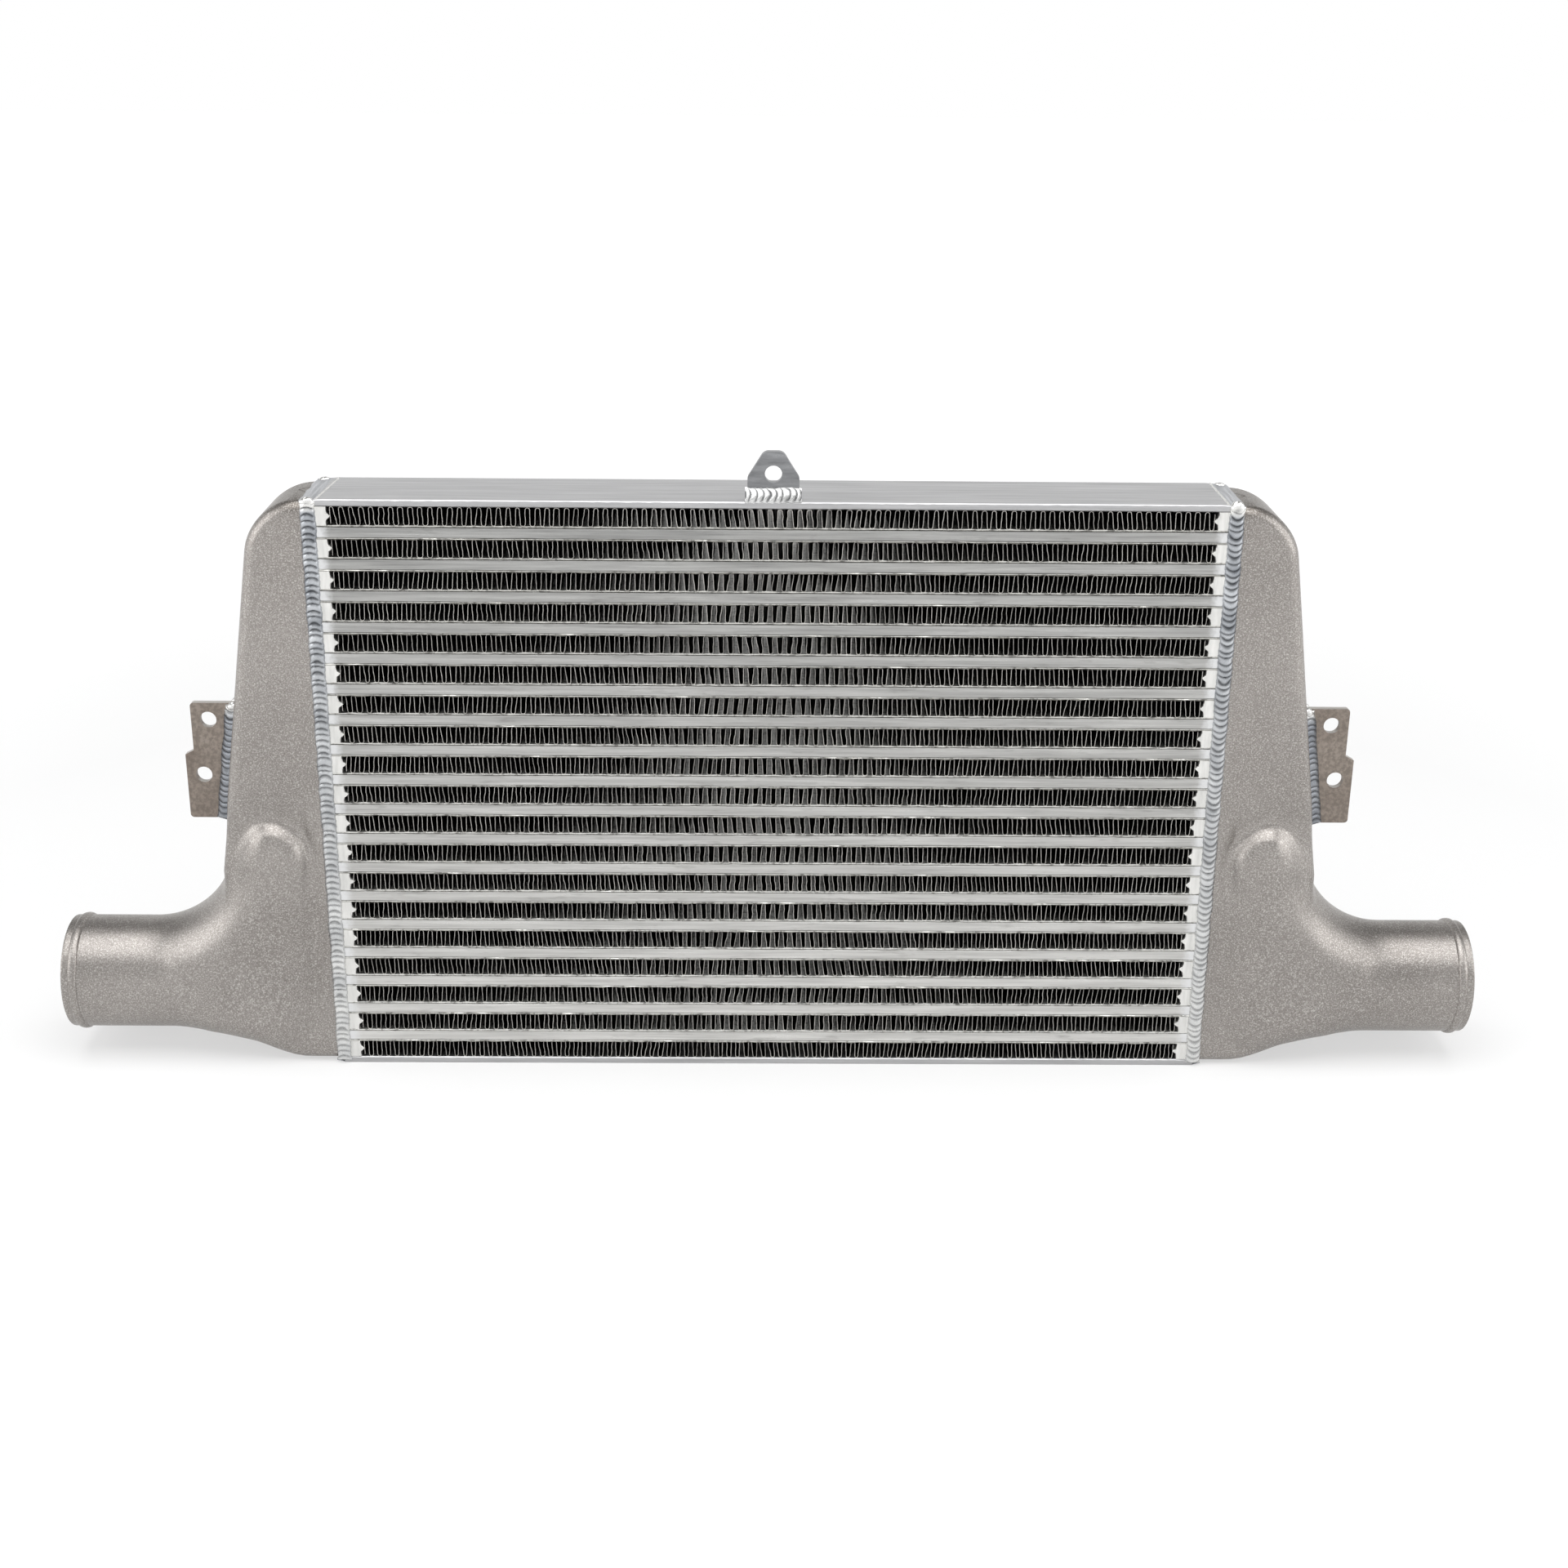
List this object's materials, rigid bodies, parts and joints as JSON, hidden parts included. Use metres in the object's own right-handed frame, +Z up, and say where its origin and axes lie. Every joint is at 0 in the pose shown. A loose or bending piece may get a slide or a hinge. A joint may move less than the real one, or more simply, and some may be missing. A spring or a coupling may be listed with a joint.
{
  "type": "intercooler",
  "caption": "Bar-and-plate air-to-air intercooler with finned core, cast end tanks, side hose necks, side brackets and a top tab.",
  "frame": {"origin": "middle of the core's underside, the face it stands on", "axes": "+X along the core towards the right-hand tank, +Y through the core away from the front, +Z up"},
  "size_m": [0.7926, 0.0662, 0.3521],
  "materials": {
    "cast_tank": "bead-blasted cast aluminium",
    "core_bar": "satin extruded bar, brazed",
    "plate": "smooth rolled sheet",
    "fin": "thin folded sheet",
    "weld": "rippled weld bead",
    "bracket_plate": "laser-cut plate, mill finish"
  },
  "bodies": {
    "root": {"bottom_plate": "plate", "top_plate": "plate", "parting_sheets": "plate", "front_header_bars": "core_bar", "rear_header_bars": "core_bar", "left_end_bars": "core_bar", "right_end_bars": "core_bar", "air_fin_01": "fin", "air_fin_02": "fin", "air_fin_03": "fin", "air_fin_04": "fin", "air_fin_05": "fin", "air_fin_06": "fin", "air_fin_07": "fin", "air_fin_08": "fin", "air_fin_09": "fin", "air_fin_10": "fin", "air_fin_11": "fin", "air_fin_12": "fin", "air_fin_13": "fin", "air_fin_14": "fin", "air_fin_15": "fin", "air_fin_16": "fin", "air_fin_17": "fin", "air_fin_18": "fin", "air_fin_19": "fin", "turbulator_01": "fin", "turbulator_02": "fin", "turbulator_03": "fin", "turbulator_04": "fin", "turbulator_05": "fin", "turbulator_06": "fin", "turbulator_07": "fin", "turbulator_08": "fin", "turbulator_09": "fin", "turbulator_10": "fin", "turbulator_11": "fin", "turbulator_12": "fin", "turbulator_13": "fin", "turbulator_14": "fin", "turbulator_15": "fin", "turbulator_16": "fin", "turbulator_17": "fin", "turbulator_18": "fin", "left_tank": "cast_tank", "left_tank_weld": "weld", "left_bracket": "bracket_plate", "left_bracket_weld": "weld", "right_tank": "cast_tank", "right_tank_weld": "weld", "right_bracket": "bracket_plate", "right_bracket_weld": "weld", "top_tab": "bracket_plate", "top_tab_weld": "weld"}
  },
  "joints": []
}
